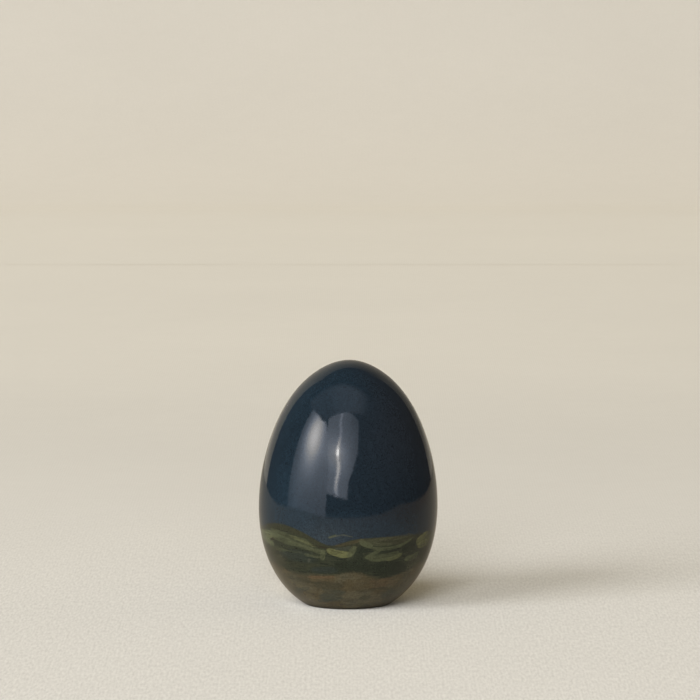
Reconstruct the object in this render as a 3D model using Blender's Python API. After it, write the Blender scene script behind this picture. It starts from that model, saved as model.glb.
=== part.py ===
"""A glazed ceramic egg that stands on its blunt end, which is cut to a small flat foot.

Units are metres and +Z is up. The origin is the middle of the foot, on the surface that the
egg stands on. The egg is one closed piece, turned about an upright axis and then leaned a little.
"""

import math

import bmesh
import bpy

# Driving dimensions
EGG_HEIGHT = 0.0700  # foot to tip
HALF_LENGTH = 0.03635  # half of the whole egg's length, before its blunt end is cut off
HALF_WIDTH = 0.0254  # its radius halfway along; it is 0.2 mm wider a little lower down
TIP_RISE = 0.0009  # how far the pointed tip stands above the plain egg
TIP_SPREAD = 0.0092  # distance from the axis over which that rise dies away
FOOT_EDGE_RADIUS = 0.0005  # rounding between the wall and the flat foot
AXIS_LEAN = math.radians(0.43)  # how far the axis tips to the right from foot to tip

# How the half width changes along the egg, by powers of the cosine of the turn from the tip
WIDTH_SKEW = (1.0, -0.1145, 0.053, 0.050)

# Fineness
SEGMENTS = 72
WALL_RINGS = 44
EDGE_RINGS = 3
FIRST_TURN = math.radians(2.5)  # the first ring below the tip

# Heights of the glaze bands
GREEN_TOP = 0.0205
BROWN_TOP = 0.0105
FOOT_TOP = 0.00001

# Glaze colours as linear red, green and blue, with their roughness
BAND_FINISHES = {
    "blue_glaze": ((0.011, 0.026, 0.043), 0.06),
    "green_brushwork": ((0.030, 0.042, 0.018), 0.08),
    "brown_base_glaze": ((0.045, 0.040, 0.026), 0.14),
    "bare_foot": ((0.36, 0.30, 0.23), 0.75),
}


def clear_scene():
    for thing in list(bpy.data.objects):
        bpy.data.objects.remove(thing)


def outline_point(turn):
    """(radius, height) on the uncut egg, where turn runs from 0 at the tip to pi at the blunt end."""
    along = math.cos(turn)
    skew = sum(factor * along**power for power, factor in enumerate(WIDTH_SKEW))
    radius = HALF_WIDTH * math.sin(turn) * skew
    middle = EGG_HEIGHT - HALF_LENGTH - TIP_RISE
    rise = TIP_RISE * math.exp(-((radius / TIP_SPREAD) ** 2))
    return radius, middle + HALF_LENGTH * along + rise


def outline_slope(turn, step=1e-4):
    """The angle above level at which the wall faces outwards, in radians."""
    upper_radius, upper_height = outline_point(turn - step)
    lower_radius, lower_height = outline_point(turn + step)
    return math.atan2(lower_radius - upper_radius, upper_height - lower_height)


def edge_centre(turn):
    """The middle of a circle of the foot edge's radius that touches the wall from inside."""
    radius, height = outline_point(turn)
    slope = outline_slope(turn)
    inset = FOOT_EDGE_RADIUS
    return radius - inset * math.cos(slope), height - inset * math.sin(slope)


def turn_at_foot_edge(halvings=50):
    """Where the wall ends, so that the rounding below it just touches the ground."""
    upper = math.pi / 2
    lower = math.pi * 0.99
    for _ in range(halvings):
        middle = (upper + lower) / 2
        if edge_centre(middle)[1] > FOOT_EDGE_RADIUS:
            upper = middle
        else:
            lower = middle
    return upper


def half_outline():
    """Points from the tip down the wall and round the foot's edge to its flat face."""
    last_turn = turn_at_foot_edge()
    points = [(0.0, outline_point(0.0)[1])]
    for ring in range(WALL_RINGS):
        turn = FIRST_TURN + (last_turn - FIRST_TURN) * ring / (WALL_RINGS - 1)
        points.append(outline_point(turn))
    centre_radius, centre_height = edge_centre(last_turn)
    wall_slope = outline_slope(last_turn)
    for ring in range(1, EDGE_RINGS + 1):
        slope = wall_slope + (-math.pi / 2 - wall_slope) * ring / EDGE_RINGS
        radius = centre_radius + FOOT_EDGE_RADIUS * math.cos(slope)
        height = centre_height + FOOT_EDGE_RADIUS * math.sin(slope)
        points.append((radius, height))
    points[-1] = (centre_radius, 0.0)
    points.append((0.0, 0.0))
    return points


def turned_shell(points):
    """The outline spun once round the Z axis and closed at its seam, as a bmesh."""
    shell = bmesh.new()
    corners = [shell.verts.new((radius, 0.0, height)) for radius, height in points]
    sides = [shell.edges.new(pair) for pair in zip(corners, corners[1:])]
    bmesh.ops.spin(
        shell,
        geom=corners + sides,
        axis=(0.0, 0.0, 1.0),
        cent=(0.0, 0.0, 0.0),
        angle=2 * math.pi,
        steps=SEGMENTS,
        use_duplicate=False,
    )
    bmesh.ops.remove_doubles(shell, verts=shell.verts, dist=1e-6)
    bmesh.ops.recalc_face_normals(shell, faces=shell.faces)
    return shell


def lean(shell):
    """Slides each level of the egg to the right in proportion to its height, so the foot stays flat."""
    for corner in shell.verts:
        corner.co.x += corner.co.z * math.tan(AXIS_LEAN)


def paint_bands(shell):
    """Gives each face the finish of the band that its middle lies in."""
    for face in shell.faces:
        height = face.calc_center_median().z
        if height > GREEN_TOP:
            face.material_index = 0
        elif height > BROWN_TOP:
            face.material_index = 1
        elif height > FOOT_TOP:
            face.material_index = 2
        else:
            face.material_index = 3


def glaze(name, colour, roughness):
    material = bpy.data.materials.new(name)
    material.use_nodes = True
    shader = material.node_tree.nodes["Principled BSDF"]
    shader.inputs["Base Color"].default_value = (*colour, 1.0)
    shader.inputs["Roughness"].default_value = roughness
    shader.inputs["Metallic"].default_value = 0.0
    return material


def build_egg():
    shell = turned_shell(half_outline())
    lean(shell)
    paint_bands(shell)
    mesh = bpy.data.meshes.new("egg")
    shell.to_mesh(mesh)
    shell.free()
    mesh.shade_smooth()
    mesh.set_sharp_from_angle(angle=math.radians(40))
    for name, (colour, roughness) in BAND_FINISHES.items():
        mesh.materials.append(glaze(name, colour, roughness))
    egg = bpy.data.objects.new("egg", mesh)
    bpy.context.scene.collection.objects.link(egg)
    return egg


clear_scene()
build_egg()
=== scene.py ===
import math

import bpy
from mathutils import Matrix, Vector


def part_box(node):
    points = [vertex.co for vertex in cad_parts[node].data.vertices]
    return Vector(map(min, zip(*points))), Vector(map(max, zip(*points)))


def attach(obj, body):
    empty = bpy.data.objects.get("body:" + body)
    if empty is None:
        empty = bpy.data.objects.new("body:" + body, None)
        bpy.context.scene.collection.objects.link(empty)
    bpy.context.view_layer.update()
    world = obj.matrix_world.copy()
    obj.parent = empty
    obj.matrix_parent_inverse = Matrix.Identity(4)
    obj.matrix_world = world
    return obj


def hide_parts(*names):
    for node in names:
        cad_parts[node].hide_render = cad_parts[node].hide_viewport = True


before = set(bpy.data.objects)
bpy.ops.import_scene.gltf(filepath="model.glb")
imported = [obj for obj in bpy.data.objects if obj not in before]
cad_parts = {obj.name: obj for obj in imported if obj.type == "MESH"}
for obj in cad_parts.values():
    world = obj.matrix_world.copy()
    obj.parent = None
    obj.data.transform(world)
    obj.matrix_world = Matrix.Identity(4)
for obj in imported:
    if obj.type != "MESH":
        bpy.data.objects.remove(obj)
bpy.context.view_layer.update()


# One output of a shader node. Arithmetic on it adds Math nodes to the same tree.
class Wire:
    def __init__(self, tree, socket=None):
        self.tree = tree
        self.socket = socket

    # Adds a node: its settings first, then the values or links of its sockets.
    def node(self, kind, settings=None, values=None, outlet=0):
        made = self.tree.nodes.new(kind)
        for name, value in (settings or {}).items():
            setattr(made, name, value)
        for name, value in (values or {}).items():
            if isinstance(value, Wire):
                self.tree.links.new(value.socket, made.inputs[name])
            else:
                made.inputs[name].default_value = value
        return Wire(self.tree, made.outputs[outlet])

    # Another outlet of the node that this one comes from.
    def outlet(self, name):
        return Wire(self.tree, self.socket.node.outputs[name])

    def math(self, operation, *values):
        return self.node("ShaderNodeMath", {"operation": operation}, dict(enumerate(values)))

    def vector(self, operation, *values):
        return self.node("ShaderNodeVectorMath", {"operation": operation}, dict(enumerate(values)))

    def __add__(self, other):
        return self.math("ADD", self, other)

    def __radd__(self, other):
        return self.math("ADD", other, self)

    def __sub__(self, other):
        return self.math("SUBTRACT", self, other)

    def __rsub__(self, other):
        return self.math("SUBTRACT", other, self)

    def __mul__(self, other):
        return self.math("MULTIPLY", self, other)

    def __rmul__(self, other):
        return self.math("MULTIPLY", other, self)

    def __truediv__(self, other):
        return self.math("DIVIDE", self, other)

    def __pow__(self, other):
        return self.math("POWER", self, other)

    # 0 below low, 1 above high, and a smooth rise between them. It falls where low is the larger.
    def rise(self, low, high, top=1.0):
        return self.node(
            "ShaderNodeMapRange",
            {"interpolation_type": "SMOOTHSTEP"},
            {"Value": self, "From Min": low, "From Max": high, "To Max": top},
        )

    # This value times a factor, plus another.
    def plus(self, factor, other):
        return self.math("MULTIPLY_ADD", self, factor, other)

    # A soft bump of height 1 at the middle.
    def bell(self, middle, spread):
        away = (self - middle) / spread
        return away.math("EXPONENT", away * away * -1.0)

    def noise(self, scale, detail=2.0, roughness=0.5, stretch=(1.0, 1.0, 1.0)):
        stretched = self.vector("MULTIPLY", self, stretch)
        return self.node(
            "ShaderNodeTexNoise",
            values={"Vector": stretched, "Scale": scale, "Detail": detail, "Roughness": roughness},
        )

    # This colour made brighter or darker by a factor.
    def scaled(self, factor):
        return self.node("ShaderNodeVectorMath", {"operation": "SCALE"}, {0: self, "Scale": factor})

    # Lays a colour over this one where the mask is 1.
    def under(self, colour, mask):
        return mixColours(self.tree, mask, self, colour)


def mixColours(tree, mask, low, high):
    wires = {0: mask, 6: asColour(low), 7: asColour(high)}
    return Wire(tree).node("ShaderNodeMix", {"data_type": "RGBA"}, wires, outlet=2)


def asColour(value):
    return value if isinstance(value, Wire) else (*value, 1.0)


def newMaterial(name):
    material = bpy.data.materials.new(name)
    material.use_nodes = True
    tree = material.node_tree
    return material, tree, tree.nodes["Principled BSDF"]


def placed(name, points, faces, smooth=False):
    mesh = bpy.data.meshes.new(name)
    mesh.from_pydata(points, [], faces)
    mesh.update()
    if smooth:
        mesh.shade_smooth()
    thing = bpy.data.objects.new(name, mesh)
    bpy.context.scene.collection.objects.link(thing)
    return thing


# The egg's form, in metres: an egg with a slightly pointed tip, cut flat at its blunt end.
eggLow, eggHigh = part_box("egg")
eggShape = {
    "height": eggHigh.z - eggLow.z,
    "halfLength": 0.03635,
    "halfWidth": 0.0254,
    "widthSkew": (1.0, -0.1145, 0.053, 0.050),
    "tipRise": 0.0009,
    "tipSpread": 0.0092,
    "footEdge": 0.0005,
    "lean": math.radians(0.43),
    "segments": 320,
    "wallRings": 210,
    "edgeRings": 8,
    "footRings": 6,
    "unevenness": 0.00004,  # how far the hand-smoothed surface dips at most
    "dipEnd": 0.98,  # the share of the way down the wall where the dips have died away
    "dipStretch": 1.02,
}

# Shallow waves left in the surface: turns round the egg, waves up its height, shift, share
eggWaves = (
    (2, 1.6, 0.4, 0.34),
    (3, 2.7, 1.9, 0.26),
    (5, 3.4, 4.1, 0.18),
    (7, 6.0, 2.6, 0.12),
    (11, 9.0, 5.2, 0.10),
)


def outlinePoint(turn):
    shape = eggShape
    along = math.cos(turn)
    skew = sum(factor * along**power for power, factor in enumerate(shape["widthSkew"]))
    radius = shape["halfWidth"] * math.sin(turn) * skew
    rise = shape["tipRise"] * math.exp(-((radius / shape["tipSpread"]) ** 2))
    middle = shape["height"] - shape["halfLength"] - shape["tipRise"]
    return radius, middle + shape["halfLength"] * along + rise


def outlineSlope(turn, step=1e-4):
    upperRadius, upperHeight = outlinePoint(turn - step)
    lowerRadius, lowerHeight = outlinePoint(turn + step)
    return math.atan2(lowerRadius - upperRadius, upperHeight - lowerHeight)


def edgeCentre(turn):
    radius, height = outlinePoint(turn)
    slope = outlineSlope(turn)
    inset = eggShape["footEdge"]
    return radius - inset * math.cos(slope), height - inset * math.sin(slope)


def turnAtFootEdge():
    upper, lower = math.pi / 2, math.pi * 0.99
    for _ in range(50):
        middle = (upper + lower) / 2
        if edgeCentre(middle)[1] > eggShape["footEdge"]:
            upper = middle
        else:
            lower = middle
    return upper


# (radius, height, share of the unevenness) from just below the tip to the middle of the foot
def eggRings():
    shape = eggShape
    lastTurn = turnAtFootEdge()
    rings = []
    for ring in range(1, shape["wallRings"] + 1):
        part = ring / shape["wallRings"]
        radius, height = outlinePoint(lastTurn * part)
        share = 0.0
        if part < shape["dipEnd"]:
            share = math.sin(math.pi * part * shape["dipStretch"]) ** 0.5
        rings.append((radius, height, share))
    centreRadius, _ = edgeCentre(lastTurn)
    wallSlope = outlineSlope(lastTurn)
    for ring in range(1, shape["edgeRings"] + 1):
        slope = wallSlope + (-math.pi / 2 - wallSlope) * ring / shape["edgeRings"]
        radius = centreRadius + shape["footEdge"] * math.cos(slope)
        height = shape["footEdge"] * (1 + math.sin(slope))
        rings.append((radius, height, 0.0))
    for ring in range(1, shape["footRings"]):
        rings.append((centreRadius * (1 - ring / shape["footRings"]), 0.0, 0.0))
    return rings


def surfaceDip(angle, height):
    wave = sum(
        share * math.sin(turns * angle + 2 * math.pi * upright * height / eggShape["height"] + shift)
        for turns, upright, shift, share in eggWaves
    )
    return eggShape["unevenness"] * (wave - 1) / 2


def buildEgg():
    shape = eggShape
    segments = shape["segments"]
    slant = math.tan(shape["lean"])
    points = [Vector((shape["height"] * slant, 0, shape["height"]))]
    rings = eggRings()
    for radius, height, share in rings:
        for segment in range(segments):
            angle = 2 * math.pi * segment / segments
            reach = radius + share * surfaceDip(angle, height)
            x, y = reach * math.cos(angle), reach * math.sin(angle)
            points.append(Vector((x + height * slant, y, height)))
    points.append(Vector((0, 0, 0)))
    faces = []
    for segment in range(segments):
        after = (segment + 1) % segments
        faces.append((0, 1 + segment, 1 + after))
        for ring in range(len(rings) - 1):
            upper = 1 + ring * segments
            lower = upper + segments
            faces.append((upper + segment, lower + segment, lower + after, upper + after))
        last = 1 + (len(rings) - 1) * segments
        faces.append((last + after, last + segment, len(points) - 1))
    return placed("glazed_egg", points, faces, smooth=True)


# The paints, and how they lie. Heights and lengths in millimetres, angles in degrees round the
# egg from the middle of its front, to the right. Colours are linear red, green and blue.
glazeLook = {
    "navy": (0.0058, 0.0104, 0.0153),
    "dusk": (0.0088, 0.0172, 0.0258),
    "mist": (0.0150, 0.0225, 0.0290),
    "plum": (0.0115, 0.0148, 0.0200),
    "ink": (0.0040, 0.0066, 0.0096),
    "olive": (0.0168, 0.0182, 0.0104),
    "bark": (0.0130, 0.0115, 0.0068),
    "deepGreen": (0.0082, 0.0112, 0.0072),
    "moss": (0.0170, 0.0200, 0.0122),
    "pine": (0.0135, 0.0185, 0.0162),
    "drab": (0.0265, 0.0270, 0.0165),
    "sage": (0.0390, 0.0440, 0.0235),
    "paleSage": (0.0620, 0.0720, 0.0390),
    "leaf": (0.0640, 0.0670, 0.0290),
    "straw": (0.0400, 0.0430, 0.0300),
    "umber": (0.0430, 0.0340, 0.0172),
    "loam": (0.0215, 0.0215, 0.0135),
    "rust": (0.0640, 0.0420, 0.0225),
    "clay": (0.0570, 0.0500, 0.0300),
    "slate": (0.0250, 0.0290, 0.0215),
    "bareClay": (0.3600, 0.2900, 0.2100),
    "bandRadius": 24.5,
    "ridgeHeight": 22.2,
    "earthHeight": 11.0,
    "strokeReach": 1.10,
    "strokeEdge": 0.42,  # how softly a brush stroke ends
    "patchEdge": 0.85,  # the same for a broad patch of wet glaze
    "wear": 0.60,  # how far the bristles leave a stroke open
    "bristleFineness": 2.5,  # noise cells per millimetre across the bristles, and along them
    "bristleLength": 0.26,
    "footShadowLine": (0.25, 0.80, 0.75),  # painted shadow, a dark line above the foot where the cloth shades the gap: full up to, gone at, strength
    "bareTop": (0.02, 0.06),  # the heights between which the bare clay of the foot ends
    "roughness": 0.035,
    "bareRoughness": 0.78,
    "reliefStrength": 0.5,
    "reliefDepth": 0.00002,  # in metres
    "refraction": 1.38,
}

# Rises and dips of the green band's upper edge: angle, rise, half width
ridgeForms = (
    (-50, 3.1, 24),
    (-12, -2.4, 12),
    (112, 2.2, 26),
    (163, -1.9, 15),
    (-150, 2.4, 27),
    (-108, -1.0, 14),
)

# The same for the brown earth's upper edge
earthForms = (
    (-66, 1.6, 16),
    (4, 1.4, 9),
    (30, -1.2, 13),
    (68, 1.9, 16),
    (130, -1.2, 20),
    (-172, 1.6, 16),
    (-120, -0.9, 16),
)

# Broad patches of wet glaze, then the brush strokes over them, in the order that they were laid:
# angle, height, length, width, tilt, bend, colour, strength
frontPatches = (
    (-62, 15.4, 15.0, 5.6, 0, 0.0, "drab", 0.85),
    (-38, 16.2, 15.0, 3.4, -4, 0.0, "pine", 0.70),
    (-36, 13.7, 14.0, 2.4, 0, 0.0, "olive", 0.45),
    (-17, 12.7, 10.0, 2.2, 2, 0.0, "pine", 0.85),
    (3, 14.0, 12.0, 4.6, 0, 0.0, "deepGreen", 0.85),
    (30, 12.9, 13.5, 4.4, -3, 0.0, "deepGreen", 0.90),
    (55, 13.6, 7.5, 3.6, 8, 0.0, "drab", 0.70),
    (-62, 8.2, 11.0, 7.0, 0, 0.0, "clay", 0.65),
    (-68, 12.4, 5.0, 2.0, -8, 0.0, "rust", 0.45),
    (-16, 8.0, 12.0, 3.0, 0, 0.0, "loam", 0.72),
    (-14, 4.4, 12.0, 4.2, 8, 0.0, "slate", 0.90),
    (-38, 6.8, 9.5, 2.6, -12, 0.0, "clay", 0.80),
    (-40, 3.4, 9.0, 2.2, -10, 0.0, "clay", 0.70),
    (-50, 5.1, 6.5, 2.0, 15, 0.0, "slate", 0.75),
    (9, 8.2, 12.0, 5.0, 0, 0.0, "umber", 0.75),
    (4, 4.7, 9.0, 3.0, 5, 0.0, "clay", 0.90),
    (17, 4.1, 5.5, 2.0, 0, 0.0, "moss", 0.50),
    (30, 8.5, 13.0, 2.2, -4, 0.0, "rust", 0.40),
    (41, 4.7, 7.5, 2.6, 8, 0.0, "slate", 0.70),
    (30, 2.4, 11.0, 1.6, 0, 0.0, "clay", 0.70),
)
frontStrokes = (
    (-44, 21.1, 16.5, 3.2, -7, 0.3, "sage", 0.80),
    (-33, 20.2, 9.5, 1.9, -12, 0.2, "sage", 0.62),
    (-55, 21.9, 8.5, 1.6, -2, 0.2, "paleSage", 0.42),
    (-71, 21.0, 11.0, 3.0, 5, 0.2, "paleSage", 1.00),
    (-67, 19.3, 8.0, 2.2, -9, 0.2, "paleSage", 0.80),
    (-62, 20.9, 6.0, 1.0, -5, 0.0, "leaf", 0.40),
    (-67, 23.2, 6.5, 1.0, -4, 0.0, "pine", 0.75),
    (-52, 22.9, 8.0, 0.8, -4, 0.2, "sage", 0.45),
    (-44, 22.0, 8.0, 0.7, -8, 0.0, "olive", 0.65),
    (-33, 20.6, 7.5, 0.6, -12, 0.0, "moss", 0.60),
    (-51, 20.4, 6.5, 0.7, -3, 0.0, "moss", 0.20),
    (-59.5, 20.2, 3.0, 0.7, 10, 0.0, "bark", 0.75),
    (-31, 21.0, 9.5, 0.9, -18, 0.0, "leaf", 0.38),
    (-46, 18.8, 13.0, 1.2, -4, 0.0, "moss", 0.65),
    (-57, 17.9, 9.0, 1.6, -6, 0.1, "sage", 0.40),
    (-27, 19.0, 10.5, 1.1, -9, 0.0, "sage", 0.92),
    (-20, 18.2, 5.0, 1.2, -16, 0.0, "sage", 0.70),
    (-42, 17.7, 9.0, 0.6, -4, 0.1, "sage", 0.35),
    (-24, 16.9, 6.0, 1.2, -4, 0.0, "sage", 0.60),
    (-34, 17.8, 9.0, 0.8, -6, 0.0, "pine", 0.45),
    (-17, 17.2, 3.4, 1.5, 80, 0.0, "sage", 0.92),
    (-27.5, 15.4, 1.3, 0.8, 60, 0.0, "straw", 0.70),
    (-18, 19.6, 6.0, 0.5, -10, 0.0, "bark", 0.80),
    (1, 20.9, 8.5, 1.0, 13, 0.1, "umber", 0.46),
    (-3.5, 19.1, 5.4, 1.3, 8, 0.2, "slate", 0.72),
    (-6.0, 17.7, 7.4, 2.1, -10, 0.4, "leaf", 1.00),
    (-2.0, 17.2, 5.0, 1.4, 4, 0.2, "leaf", 0.85),
    (2.8, 18.3, 3.9, 2.1, 56, 0.1, "sage", 1.00),
    (-8, 16.3, 6.5, 0.5, -11, 0.3, "deepGreen", 0.65),
    (28, 21.1, 18.5, 2.6, 2, 0.4, "drab", 0.85),
    (20, 20.4, 9.0, 1.5, -8, 0.2, "sage", 0.45),
    (33, 20.9, 12.0, 0.7, 4, 0.5, "olive", 0.70),
    (46, 18.9, 6.5, 2.6, 16, 0.0, "deepGreen", 0.85),
    (7.5, 17.6, 5.0, 2.6, 75, 0.0, "deepGreen", 0.92),
    (27.5, 18.8, 17.4, 1.0, 2, 2.3, "sage", 0.88),
    (11.6, 20.6, 4.4, 1.5, -24, 0.2, "sage", 0.95),
    (22, 21.7, 8.0, 0.6, 3, 0.0, "sage", 0.45),
    (37, 21.5, 7.0, 0.5, 7, 0.0, "sage", 0.40),
    (17, 17.5, 5.2, 1.2, 27, 0.0, "sage", 0.90),
    (25.0, 16.5, 10.5, 1.8, 5, 0.6, "sage", 0.72),
    (25.5, 15.9, 12.2, 1.7, 2, 1.0, "sage", 0.95),
    (33.5, 16.1, 5.5, 1.4, 16, 0.1, "leaf", 0.45),
    (29, 17.9, 6.5, 0.7, 6, 0.3, "deepGreen", 0.70),
    (30, 16.6, 6.0, 0.4, 6, 0.2, "moss", 0.55),
    (26, 14.6, 9.0, 0.6, 2, 0.5, "deepGreen", 0.60),
    (58.0, 20.7, 6.4, 2.8, 20, 0.0, "leaf", 0.84),
    (61.0, 19.2, 7.0, 2.6, 8, 0.2, "leaf", 0.80),
    (66.0, 21.2, 5.0, 2.0, 14, 0.0, "sage", 0.75),
    (62, 20.6, 3.0, 0.6, 20, 0.0, "olive", 0.55),
    (50, 15.6, 6.4, 2.0, 10, 0.2, "sage", 0.85),
    (56, 13.4, 7.0, 1.2, 16, 0.1, "sage", 0.45),
    (-4.6, 23.2, 6.8, 0.4, 3, -0.9, "straw", 0.80),
    (-10, 22.9, 2.6, 0.5, 24, 0.0, "sage", 0.70),
    (-20, 10.4, 10.0, 1.0, 3, 0.1, "rust", 0.75),
    (34, 9.7, 9.0, 0.8, 6, 0.4, "rust", 0.35),
    (-34, 8.9, 10.0, 1.0, -6, 0.2, "loam", 0.55),
    (-44, 6.0, 9.0, 1.2, 8, 0.2, "slate", 0.60),
    (-12, 6.3, 9.0, 1.0, -4, 0.0, "slate", 0.55),
    (-24, 3.0, 8.0, 1.2, 6, 0.0, "slate", 0.60),
    (-54, 9.6, 8.0, 1.0, -8, 0.0, "loam", 0.40),
    (18, 6.6, 10.0, 0.9, 6, 0.3, "loam", 0.40),
    (36, 6.4, 8.0, 0.9, -6, 0.2, "loam", 0.40),
    (26, 7.4, 7.0, 0.7, 3, 0.2, "rust", 0.40),
)
backPatches = (
    (95, 15.0, 16.0, 4.6, 0, 0.0, "moss", 0.80),
    (132, 13.6, 16.0, 3.6, 3, 0.0, "deepGreen", 0.85),
    (170, 13.4, 12.0, 3.0, 0, 0.0, "pine", 0.80),
    (-150, 14.8, 15.0, 4.0, -3, 0.0, "drab", 0.65),
    (-112, 13.4, 13.0, 3.6, 3, 0.0, "deepGreen", 0.80),
    (100, 7.5, 13.0, 4.6, 4, 0.0, "clay", 0.75),
    (134, 5.0, 12.0, 3.8, 0, 0.0, "slate", 0.80),
    (166, 7.6, 13.0, 3.2, -5, 0.0, "umber", 0.75),
    (-168, 4.2, 11.0, 3.6, 6, 0.0, "clay", 0.80),
    (-138, 6.6, 12.0, 3.8, -4, 0.0, "slate", 0.75),
    (-104, 7.4, 13.0, 4.6, 0, 0.0, "clay", 0.70),
    (-96, 3.6, 9.0, 2.4, -6, 0.0, "slate", 0.60),
)
backStrokes = (
    (86, 20.4, 12.0, 2.6, 6, 0.3, "sage", 0.72),
    (96, 22.2, 13.0, 1.0, 9, 0.5, "moss", 0.70),
    (92, 18.6, 11.0, 0.9, 6, 0.6, "sage", 0.85),
    (106, 17.0, 8.0, 1.7, -9, 0.5, "leaf", 0.80),
    (119, 20.9, 15.0, 2.0, -5, 0.6, "sage", 0.70),
    (122, 22.0, 9.0, 0.6, -8, 0.2, "olive", 0.70),
    (133, 18.9, 9.0, 0.9, -12, 0.3, "sage", 0.80),
    (135, 16.7, 10.0, 1.6, 4, 0.7, "sage", 0.90),
    (150, 18.9, 5.0, 1.5, 30, 0.0, "sage", 0.85),
    (154, 16.4, 6.0, 1.3, 6, 0.2, "deepGreen", 0.80),
    (167, 17.2, 7.6, 1.9, -10, 0.5, "leaf", 0.95),
    (176, 18.6, 4.0, 1.4, 55, 0.0, "sage", 0.90),
    (-174, 20.2, 12.0, 1.0, 7, 0.8, "umber", 0.45),
    (-158, 21.9, 16.0, 1.8, 7, 0.3, "sage", 0.68),
    (-163, 19.6, 10.0, 0.9, 12, 0.3, "sage", 0.85),
    (-150, 20.6, 12.0, 0.7, 5, 0.3, "moss", 0.70),
    (-148, 18.9, 12.0, 1.4, 3, 0.8, "sage", 0.80),
    (-129, 17.0, 9.0, 1.8, -4, 0.7, "leaf", 0.72),
    (-118, 19.6, 8.0, 2.2, 16, 0.0, "pine", 0.80),
    (-100, 20.8, 13.0, 1.3, -9, 0.4, "sage", 0.80),
    (-92, 17.9, 10.0, 1.2, -3, 0.5, "sage", 0.70),
    (-104, 15.8, 6.0, 1.4, 12, 0.2, "sage", 0.75),
    (148, 10.4, 12.0, 0.9, 3, 0.2, "rust", 0.55),
    (-112, 9.9, 11.0, 0.9, -4, 0.3, "rust", 0.50),
)

# Directions in which the bristles were drawn, in degrees above level
bristleTilts = (-13, 0, 13, 62)


# A soft bump for each form along the band, added up.
def bandEdge(degrees, height, forms):
    edge = height
    for middle, rise, spread in forms:
        away = degrees.math("WRAP", degrees - middle, 180.0, -180.0) / spread
        edge = edge + rise * away.math("EXPONENT", away * away * -1.0)
    return edge


# The lines that bristles leave open, one set for each direction, up to 1 where the colour is full.
def bristleMarks(millimetres, across, height):
    marks = {}
    for tilt in bristleTilts:
        x = millimetres.node("ShaderNodeSeparateXYZ", values={0: millimetres})
        slid = height - across * math.tan(math.radians(tilt))
        lines = x.node("ShaderNodeCombineXYZ", values={0: x, 1: x.outlet("Y"), 2: slid})
        lengthwise = glazeLook["bristleLength"]
        crosswise = glazeLook["bristleFineness"] * math.cos(math.radians(tilt)) ** 1.5
        shown = lines.noise(1.0, 4.0, 0.62, stretch=(lengthwise, lengthwise, crosswise))
        shown = shown.rise(0.34, 0.60)
        marks[tilt] = shown.plus(glazeLook["wear"], 1.0 - glazeLook["wear"])
    return marks


# How much of one brush stroke's colour lies at each place: all of it at its middle, ragged at its
# rim, and worn away along the bristles.
def strokeMask(band, ragged, bristles, stroke, edge):
    angle, height, length, width, tilt, bend, _, strength = stroke
    across, up = band
    middle = math.radians(angle) * glazeLook["bandRadius"]
    cosine, sine = math.cos(math.radians(tilt)), math.sin(math.radians(tilt))
    along = across.plus(2 * cosine / length, up.plus(2 * sine / length, 0.0))
    along = along - 2 * (middle * cosine + height * sine) / length
    aside = up.plus(2 * cosine / width, across.plus(-2 * sine / width, 0.0))
    aside = aside - 2 * (height * cosine - middle * sine) / width
    squared = along * along
    bent = squared.plus(-2 * bend / width, aside)
    reach = bent.plus(bent, squared.plus(squared, ragged))
    nearest = min(bristleTilts, key=lambda drawn: abs(drawn - tilt))
    end = glazeLook["strokeReach"]
    return reach.rise(end, end - edge, strength) * bristles[nearest]


def paintStrokes(colour, band, ragged, bristles, strokes, edge):
    for stroke in strokes:
        mask = strokeMask(band, ragged, bristles, stroke, edge)
        colour = colour.under(glazeLook[stroke[6]], mask)
    return colour


# The same strokes with their angles counted on from the middle of the front, up to 360.
def wrappedStrokes(strokes):
    return [(angle % 360, *rest) for angle, *rest in strokes]


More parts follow.
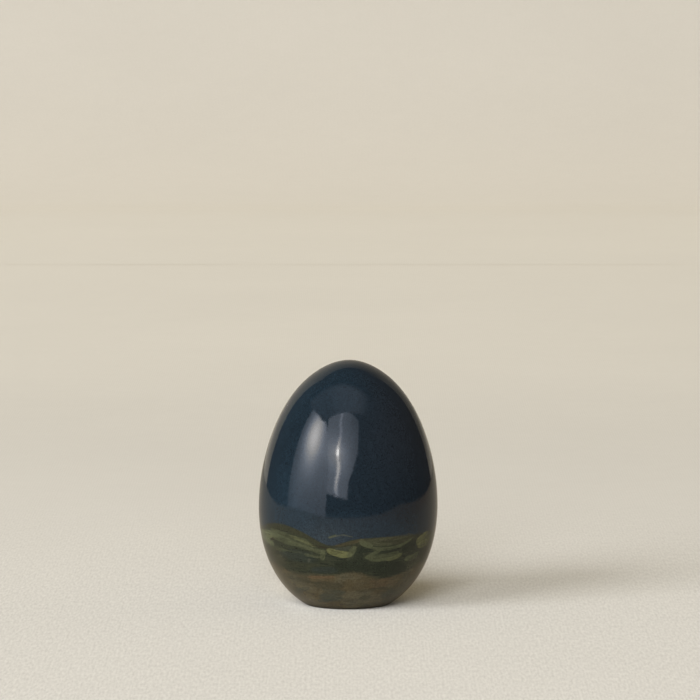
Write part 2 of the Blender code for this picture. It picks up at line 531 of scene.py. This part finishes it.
def eggGlaze():
    material, tree, shader = newMaterial("brushed_egg_glaze")
    start = Wire(tree)
    look = glazeLook
    place = start.node("ShaderNodeTexCoord", outlet="Object")
    millimetres = place.scaled(1000.0)
    x = millimetres.node("ShaderNodeSeparateXYZ", values={0: millimetres})
    height = x.outlet("Z")
    upright = x - height * math.tan(eggShape["lean"])
    turn = upright.math("ARCTAN2", upright, x.outlet("Y") * -1.0)
    degrees = turn * math.degrees(1.0)

    # Slow and quick wandering of every painted edge, in millimetres
    slow = millimetres.noise(0.16, 3.0)
    quick = millimetres.noise(1.1, 4.0, 0.62)
    fine = millimetres.noise(3.2, 2.0)
    wander = (slow - 0.5) * 1.6 + (quick - 0.5) * 0.9
    ragged = (quick - 0.5) * 0.9 + (fine - 0.5) * 0.35

    # The band laid flat: distance round the egg and height, both wandering a little. Its front
    # sheet is joined at the back, and its back sheet at the front.
    frontAcross = turn * look["bandRadius"]
    backAcross = turn.math("WRAP", turn, 2 * math.pi, 0.0) * look["bandRadius"]
    wandering = wander.plus(0.36, height)
    frontBand = (frontAcross + quick - 0.5, wandering)
    backBand = (backAcross + quick - 0.5, wandering)
    frontBristles = bristleMarks(millimetres, frontAcross, height)
    backBristles = bristleMarks(millimetres, backAcross, height)
    level = frontBristles[0].rise(1.0 - look["wear"], 1.0)

    # Blue glaze: paler at the tip and at the left, clouded, redder at the upper right, misty over
    # the dip in the ridge, and finely speckled
    clouds = millimetres.noise(0.10, 4.0, 0.55)
    speckle = millimetres.noise(2.6, 3.0, 0.7)
    left = 1.0 - upright.rise(-21, -5)
    paler = left * 0.8 + height.rise(50, 66) * 0.6 + (1.0 - height.rise(24, 34)) * (0.55 + left * 0.4)
    blue = mixColours(tree, (paler + clouds - 0.5).rise(0, 1), look["navy"], look["dusk"])
    blue = blue.under(look["plum"], degrees.bell(50, 36) * height.bell(52, 18) * 0.9)
    blue = blue.under(look["mist"], degrees.bell(-14, 18) * height.bell(21.5, 4.5))
    blue = blue.under(look["ink"], speckle.rise(0.46, 0.62) * 0.40)
    blue = blue.under(look["dusk"], speckle.rise(0.46, 0.34) * 0.30)

    # Earth colours, wet and run together
    earth = mixColours(tree, slow.rise(0.38, 0.62), look["umber"], look["clay"])
    earth = earth.under(look["slate"], clouds.rise(0.50, 0.64) * 0.35)
    earth = earth.under(look["loam"], (1.0 - level) * 0.45)

    # Dark green between the two, olive along its ridge
    green = mixColours(tree, level, look["deepGreen"], look["moss"])
    earthEdge = bandEdge(degrees, look["earthHeight"], earthForms) + wander * 0.6
    ridge = bandEdge(degrees, look["ridgeHeight"], ridgeForms) + wander * 0.2
    low = mixColours(tree, (height - earthEdge).rise(-0.7, 0.9), earth, green)
    low = low.under(look["olive"], (height - ridge).rise(-3.0, -0.9) * 0.92)
    painted = mixColours(tree, (height - ridge).rise(-0.18, 0.18), low, blue)
    sides = (
        (frontBand, frontBristles, frontPatches, frontStrokes),
        (backBand, backBristles, wrappedStrokes(backPatches), wrappedStrokes(backStrokes)),
    )
    for band, bristles, patches, strokes in sides:
        painted = paintStrokes(painted, band, ragged, bristles, patches, look["patchEdge"])
        painted = paintStrokes(painted, band, ragged, bristles, strokes, look["strokeEdge"])
    painted = painted.scaled(1.0 + (fine - 0.5) * 1.3 + (quick - 0.5) * 0.8)

    # Painted shadow: the glaze is darkened to bark just above the foot, for the shaded gap where it meets
    # the cloth
    shadowTop, shadowEnd, shadowStrength = look["footShadowLine"]
    painted = painted.under(look["bark"], (1.0 - height.rise(shadowTop, shadowEnd)) * shadowStrength)
    bare = 1.0 - height.rise(*look["bareTop"])
    colour = painted.under(look["bareClay"], bare)
    roughness = look["roughness"] + bare * (look["bareRoughness"] - look["roughness"])
    relief = fine * 0.3 + quick
    depths = {"Strength": look["reliefStrength"], "Distance": look["reliefDepth"], "Height": relief}
    bump = start.node("ShaderNodeBump", values=depths)
    tree.links.new(colour.socket, shader.inputs["Base Color"])
    tree.links.new(roughness.socket, shader.inputs["Roughness"])
    tree.links.new(bump.socket, shader.inputs["Normal"])
    shader.inputs["IOR"].default_value = look["refraction"]
    return material


egg = buildEgg()
egg.data.materials.append(eggGlaze())
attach(egg, "root")
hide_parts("egg")
print("egg built and glazed:", len(egg.data.polygons), "faces")


# The studio: a pale cloth that lies under the egg and rises behind it. Sizes in metres.
clothLook = {
    "floorColour": (0.655, 0.660, 0.640),
    "farColour": (0.747, 0.745, 0.703),
    "backColour": (0.760, 0.745, 0.688),
    "reach": 3.5,
    "curveStart": 1.55,
    "curveRadius": 0.60,
    "curveSteps": 72,
    "top": 1.90,
    "overlap": 0.40,  # how far the backdrop lies flat on the floor before it curves up
    "lift": 0.0001,
    "floorEnd": 2.0,
    "yarn": 0.0009,
    "weave": 0.0125,
    "fuzz": 0.08,
    "slubs": 0.48,  # how uneven the yarns are near the egg, where the camera sees them sharp
    "slubsEnd": 0.30,
    "mottle": 0.035,
    "patches": 0.05,
    # Painted light and shade on the cloth: its tone rises and dips with distance back, and its upright
    # part is darkened
    "rises": ((0.45, 1.65, 0.235), (1.45, 1.80, -0.125)),  # from and to, in metres back, and change
    "bumps": ((0.38, 0.20, -0.05), (1.57, 0.03, 0.02)),  # middle, spread and change
    "dimming": 1.0,  # painted shade: how much darker the upright cloth is made than the lying one
    "underLight": (0.34, (-0.0149, 0.0042), (0.018, 0.026)),  # strength, then middle and spread
    "underSlant": 0.137,
    "roughness": 0.95,
    "shine": 0.15,
}

# The part of the cloth that the glaze mirrors, and how much darker it looks there
mirroredCloth = {
    "front": -0.21,
    "left": -0.46,
    "right": 0.61,
    "widensFrom": 0.10,
    "backLeft": -0.90,
    "backRight": 0.76,
    "back": 0.86,
    "top": 1.38,
    "lift": 0.00005,
    "colour": (0.395, 0.370, 0.316),
    "dimColour": (0.385, 0.300, 0.225),
    "dimSlant": 0.9,
    "dimFrom": 0.05,
    "dimTo": 0.30,
    "footShade": (0.0105, 0.0150, 0.15),  # radii between which the shade at the foot ends, its depth
}


# Woven cloth with uneven yarns. Its tone changes a little the farther it lies behind the egg, as painted
# light and shade.
def clothMaterial():
    look = clothLook
    material, tree, shader = newMaterial("pale_cloth")
    place = Wire(tree).node("ShaderNodeTexCoord", outlet="Object")
    x = place.node("ShaderNodeSeparateXYZ", values={0: place})
    y = x.outlet("Y")
    turns = 2 * math.pi / look["yarn"]
    wobble = (place.noise(260.0, 2.0) - 0.5) * 3.0
    warp = x.math("SINE", x * turns + wobble)
    weft = y.math("SINE", y * turns + wobble)
    fuzz = place.noise(700.0, 3.0, 0.6) - 0.5
    slubs = place.noise(1350.0, 2.0, 0.6, stretch=(1.0, 0.18, 1.0)) - 0.5
    patches = place.noise(9.0, 3.0, 0.55) - 0.5
    mottle = place.noise(95.0, 3.0, 0.6) - 0.5
    tone = 1.0 + (warp + weft) * look["weave"] + fuzz * look["fuzz"] + patches * look["patches"]
    tone = tone + slubs * (1.0 - y.rise(0.0, look["slubsEnd"])) * look["slubs"] + mottle * look["mottle"]
    # Painted light and shade: the tone rises and dips with the distance behind the egg
    for nearer, farther, change in look["rises"]:
        tone = tone + y.rise(nearer, farther) * change
    for middle, spread, change in look["bumps"]:
        tone = tone + y.bell(middle, spread) * change
    # Light that gets in under the egg, at the left of its foot
    under, sideways, backwards = look["underLight"]
    tone = tone + under * (x + y * look["underSlant"]).bell(*sideways) * y.bell(*backwards)
    # Painted shade: the cloth is darker the more it turns upright, against the stronger light there, so
    # that it looks even from its foot to its top.
    upright = (y - look["curveStart"]) / look["curveRadius"]
    upright = upright.node("ShaderNodeClamp", values={0: upright})
    tone = tone / (1.0 + upright * look["dimming"])
    # Painted light: the colour grows lighter and warmer from the floor's to the far and back colours, as
    # the light on the cloth changes
    colour = mixColours(tree, y.rise(-0.15, 0.75), look["floorColour"], look["farColour"])
    colour = colour.under(look["backColour"], y.rise(1.45, 1.75))
    finishCloth(tree, shader, colour.scaled(tone))
    return material


def finishCloth(tree, shader, colour):
    tree.links.new(colour.socket, shader.inputs["Base Color"])
    shader.inputs["Roughness"].default_value = clothLook["roughness"]
    shader.inputs["Specular IOR Level"].default_value = clothLook["shine"]


def buildFloor():
    far, end = clothLook["reach"], clothLook["floorEnd"]
    corners = [(-far, -far, 0), (far, -far, 0), (far, end, 0), (-far, end, 0)]
    return placed("cloth_floor", corners, [(0, 1, 2, 3)])


def buildBackdrop():
    look = clothLook
    outline = [(look["curveStart"] - look["overlap"], look["lift"])]
    for step in range(look["curveSteps"] + 1):
        angle = math.pi / 2 * step / look["curveSteps"]
        reach = look["curveStart"] + look["curveRadius"] * math.sin(angle)
        outline.append((reach, look["curveRadius"] * (1 - math.cos(angle)) + look["lift"]))
    outline.append((outline[-1][0], look["top"]))
    points = [(side, y, z) for y, z in outline for side in (-look["reach"], look["reach"])]
    starts = range(0, 2 * len(outline) - 2, 2)
    faces = [(start, start + 1, start + 3, start + 2) for start in starts]
    return placed("cloth_backdrop", points, faces, smooth=True)


# What the glaze shows of the cloth: narrower than the real one and darker, with painted shade that is
# deepest at the right in front. Only mirror rays meet it.
def buildMirroredCloth():
    look = mirroredCloth
    rim = [
        (look["left"], look["front"], look["lift"]),
        (look["right"], look["front"], look["lift"]),
        (look["right"], look["widensFrom"], look["lift"]),
        (look["backRight"], look["back"], look["lift"]),
        (look["backLeft"], look["back"], look["lift"]),
        (look["left"], look["widensFrom"], look["lift"]),
        (look["backRight"], look["back"], look["top"]),
        (look["backLeft"], look["back"], look["top"]),
    ]
    mirrored = placed("mirrored_cloth", rim, [(0, 1, 2, 3, 4, 5), (4, 3, 6, 7)])
    mirrored.visible_camera = False
    mirrored.visible_diffuse = False
    mirrored.visible_shadow = False
    material, tree, shader = newMaterial("mirrored_cloth")
    place = Wire(tree).node("ShaderNodeTexCoord", outlet="Object")
    x = place.node("ShaderNodeSeparateXYZ", values={0: place})
    y, z = x.outlet("Y"), x.outlet("Z")
    # Painted shade: the cloth turns darker and browner towards the right in front
    dim = (x - y * look["dimSlant"]).rise(look["dimFrom"], look["dimTo"])
    # Painted shade, darker far back at the right, and again at its bend and near its top
    lost = (x + y).rise(0.7, 1.5) * 0.30 + z.rise(0.7, 1.4) * 0.25 + z.rise(0.0, 0.15) * 0.35
    shadeStart, shadeEnd, deepest = look["footShade"]
    shaded = deepest + (1 - deepest) * ((x * x + y * y) ** 0.5).rise(shadeStart, shadeEnd)
    colour = mixColours(tree, dim, look["colour"], look["dimColour"])
    finishCloth(tree, shader, colour.scaled((1 - lost) * shaded))
    mirrored.data.materials.append(material)
    return mirrored


# The lamps' soft faces. Every direction is in degrees from the middle of the egg: round from
# the front, to the right, and up. Strengths are in the same units as the cloth's brightness.
# A spot of light is its strength, then its middle and spread round the egg, and the same upwards.
eggMiddle = Vector((0, 0, eggShape["height"] / 2))
lampLook = {
    "cool": (0.93, 1.00, 1.17),
    "neutral": (1.03, 1.00, 0.98),
    "distance": 2.3,
    "sideCorners": (
        (-84, -8.5), (-29, -8.5), (-27.5, 17), (-31, 25), (-34, 33), (-40, 39.5), (-46, 42.8), (-55, 42.2),
        (-84, 43),
    ),
    "side": 1.95,
    "sideFoot": 0.58,  # how bright the side panel is near the table, and at its left edge
    "sideEdge": 0.50,
    "lamp": (12.0, (-57.8, 12.6), (31.2, 12.1)),
    "between": (1.6, (-31, 13), (27, 9)),
    "frontCorners": (
        (-29, 5.5), (-2, 2.5), (0.5, 12), (8, 20), (14, 27), (20, 46), (8, 53), (-20, 55), (-45, 50),
        (-33, 25),
    ),
    "front": 2.35,
    "frontFade": 1.25,  # how much dimmer the front panel is at its right, and at its top
    "frontTopFade": 0.3,
    "flare": (2.6, (-14, 13), (25, 8.5)),
    "slit": 6.4,
    "slitPlace": -15.0,
    "slitSpread": 2.15,
    "sway": 1.3,  # how far the slit wavers to each side, and how long one waver is
    "swayLength": 19,
    "spark": (22.0, (0, 1.5), (27.3, 2.0)),
    "sparkGlow": (2.2, (0, 7), (27.8, 2.4)),
    "sideLight": (10.3, ((-67, 9), (-37, 9), (-37, 38), (-67, 38))),
    "frontLight": (10.6, ((-20, 8), (5, 8), (5, 46), (-20, 46))),
    "lowLight": (9.7, ((-50, 3), (14, 3), (14, 12), (-50, 12))),
    "lightDistance": 6.0,
    "ceiling": 0.64,
    "ceilingHeight": 1.9,
    "ceilingCorners": ((-1.1, -0.72), (0.6, -0.72), (0.6, -0.10), (-1.1, 0.38)),
}


def towards(around, up, distance):
    turn, climb = math.radians(around), math.radians(up)
    level = math.cos(climb)
    return Vector((math.sin(turn) * level, -math.cos(turn) * level, math.sin(climb))) * distance


# A flat card whose corners are seen in the given directions.
def lampCard(name, corners, pattern, distance):
    middle = sum((towards(*corner, 1.0) for corner in corners), Vector()).normalized()
    rays = [towards(*corner, 1.0) for corner in corners]
    return hungCard(name, [ray * (distance / ray.dot(middle)) for ray in rays], pattern)


def hungCard(name, points, pattern):
    card = placed(name, points, [tuple(range(len(points)))])
    card.location = eggMiddle
    card.visible_camera = False
    card.data.materials.append(lampFace(name + "_face", pattern))
    return card


# The pattern gives the face's brightness and how neutral its light is, from the place on it.
def lampFace(name, pattern):
    material = bpy.data.materials.new(name)
    material.use_nodes = True
    tree = material.node_tree
    tree.nodes.clear()
    place = Wire(tree).node("ShaderNodeTexCoord", outlet="Object")
    x = place.node("ShaderNodeSeparateXYZ", values={0: place})
    strength, neutral = pattern(x, x.outlet("Y"), x.outlet("Z"))
    colour = mixColours(tree, neutral, lampLook["cool"], lampLook["neutral"])
    emission = colour.node("ShaderNodeEmission", values={"Color": colour.scaled(strength)})
    output = tree.nodes.new("ShaderNodeOutputMaterial")
    tree.links.new(emission.socket, output.inputs["Surface"])
    return material


def directionsOf(x, y, z):
    around = x.math("ARCTAN2", x, y * -1.0) * math.degrees(1.0)
    up = z.math("ARCTAN2", z, (x * x + y * y) ** 0.5) * math.degrees(1.0)
    return around, up


def spot(around, up, look):
    strength, middleAround, middleUp = look
    return strength * around.bell(*middleAround) * up.bell(*middleUp)


# The panel at the left, dim near the table, with the lamp's hot middle showing through it.
def sidePattern(x, y, z):
    look = lampLook
    around, up = directionsOf(x, y, z)
    lamp = spot(around, up, look["lamp"])
    upwards = look["sideFoot"] + (1 - look["sideFoot"]) * up.rise(-7, 14)
    inwards = look["sideEdge"] + (1 - look["sideEdge"]) * around.rise(-85, -66)
    bright = look["side"] * upwards * inwards + lamp + spot(around, up, look["between"])
    return bright, (lamp / look["lamp"][0]).rise(0.1, 0.6)


# The panel in front, fading to the right, with a bright slit where two cloths meet.
def frontPattern(x, y, z):
    look = lampLook
    around, up = directionsOf(x, y, z)
    panel = look["front"] - look["frontFade"] * around.rise(-16, 26)
    panel = panel - look["frontTopFade"] * up.rise(34, 46)
    sway = up.math("SINE", (up - 14) * math.radians(360 / look["swayLength"])) * look["sway"]
    away = around - look["slitPlace"] - sway
    fading = (1 - 0.66 * up.rise(30, 38)) * (0.25 + 0.75 * up.rise(0, 14))
    slit = away.bell(0, look["slitSpread"]) * fading * (1 + 0.4 * up.bell(17, 8))
    glow = spot(around, up, look["flare"]) + spot(around, up, look["between"])
    bright = slit * look["slit"] + spot(away, up, look["spark"]) + spot(away, up, look["sparkGlow"])
    return panel + glow + bright, (glow * 0.25 + slit).rise(0.3, 1.0)


# A pale ceiling over the front, soft at its edges.
def ceilingPattern(x, y, z):
    right, back = x / z, y / z
    edges = (1 - right.rise(0.15, 0.70)) * (1 - (back + right * 0.28).rise(-0.18, 0.04))
    return lampLook["ceiling"] * (0.55 + 0.45 * right.rise(-0.7, -0.1)) * edges, 0.0


# An even soft light that falls on the cloth and the paint but isn't mirrored in the glaze.
def softLight(name, look):
    strength, corners = look
    light = lampCard(name, corners, lambda x, y, z: (strength, 1.0), lampLook["lightDistance"])
    light.visible_glossy = False
    return light


def buildCeiling():
    height = lampLook["ceilingHeight"]
    points = [Vector((x, y, 1.0)) * height for x, y in lampLook["ceilingCorners"]]
    return hungCard("ceiling_cloth", points, ceilingPattern)


# A weak lamp low down behind the egg, which lights it alone, so that its back isn't lost in the dark.
backFill = {
    "place": (0.0, 1.4, 0.2),
    "width": 1.2,
    "height": 0.35,
    "power": 34.0,
    "colour": (1.0, 0.97, 0.93),
}


def buildBackFill(lit):
    look = backFill
    light = bpy.data.lights.new("back_fill", "AREA")
    light.shape = "RECTANGLE"
    light.size = look["width"]
    light.size_y = look["height"]
    light.energy = look["power"]
    light.color = look["colour"]
    lamp = bpy.data.objects.new("back_fill", light)
    bpy.context.scene.collection.objects.link(lamp)
    lamp.location = look["place"]
    lamp.rotation_euler = (-math.pi / 2, 0, 0)
    lamp.visible_camera = False
    lamp.visible_glossy = False
    receivers = bpy.data.collections.new("lit_by_back_fill")
    receivers.objects.link(lit)
    lamp.light_linking.receiver_collection = receivers


buildBackFill(egg)
cloth = clothMaterial()
clothPieces = [buildFloor(), buildBackdrop()]
for piece in clothPieces:
    piece.data.materials.append(cloth)
    piece.visible_glossy = False
clothPieces[1].visible_diffuse = False
mirroredLamps = [
    lampCard("side_panel", lampLook["sideCorners"], sidePattern, lampLook["distance"]),
    lampCard("front_panel", lampLook["frontCorners"], frontPattern, lampLook["distance"]),
    buildCeiling(),
]
for lamp in mirroredLamps:
    lamp.visible_diffuse = False
    lamp.visible_shadow = False
softLights = [
    softLight("side_light", lampLook["sideLight"]),
    softLight("front_light", lampLook["frontLight"]),
    softLight("low_light", lampLook["lowLight"]),
]
buildMirroredCloth()

# The room: brighter overhead than at its walls, pale where the camera sees past the cloth, and
# nearly dark in the glaze.
roomLook = {
    "walls": (0.370, 0.304, 0.195),
    "overhead": (0.286, 0.235, 0.150),
    "seen": (0.64, 0.59, 0.50),
    "mirrored": (0.060, 0.050, 0.047),
}


def buildRoom():
    look = roomLook
    world = bpy.data.worlds.new("studio_room")
    world.use_nodes = True
    tree = world.node_tree
    direction = Wire(tree).node("ShaderNodeTexCoord", outlet="Generated")
    height = direction.node("ShaderNodeSeparateXYZ", values={0: direction}, outlet=2)
    path = Wire(tree).node("ShaderNodeLightPath", outlet="Is Camera Ray")
    fill = mixColours(tree, height.rise(-0.1, 1.0), look["walls"], look["overhead"])
    colour = fill.under(look["seen"], path).under(look["mirrored"], path.outlet("Is Glossy Ray"))
    tree.links.new(colour.socket, tree.nodes["Background"].inputs["Color"])
    bpy.context.scene.world = world


buildRoom()
print("studio lit")

cameraLook = {
    "place": (0.00074, -1.389, 0.2146),
    "pitch": 0.1017,
    "lens": 252.0,
    "sensor": 36.0,
    "nearest": 0.01,
    "farthest": 20.0,
}
camera = bpy.data.objects.new("camera", bpy.data.cameras.new("camera"))
bpy.context.scene.collection.objects.link(camera)
camera.location = cameraLook["place"]
camera.rotation_euler = (math.pi / 2 - cameraLook["pitch"], 0, 0)
camera.data.sensor_width = cameraLook["sensor"]
camera.data.lens = cameraLook["lens"]
camera.data.clip_start = cameraLook["nearest"]
camera.data.clip_end = cameraLook["farthest"]
bpy.context.scene.camera = camera
bpy.context.scene.view_settings.view_transform = "Standard"
bpy.context.scene.view_settings.look = "None"
print("camera placed")
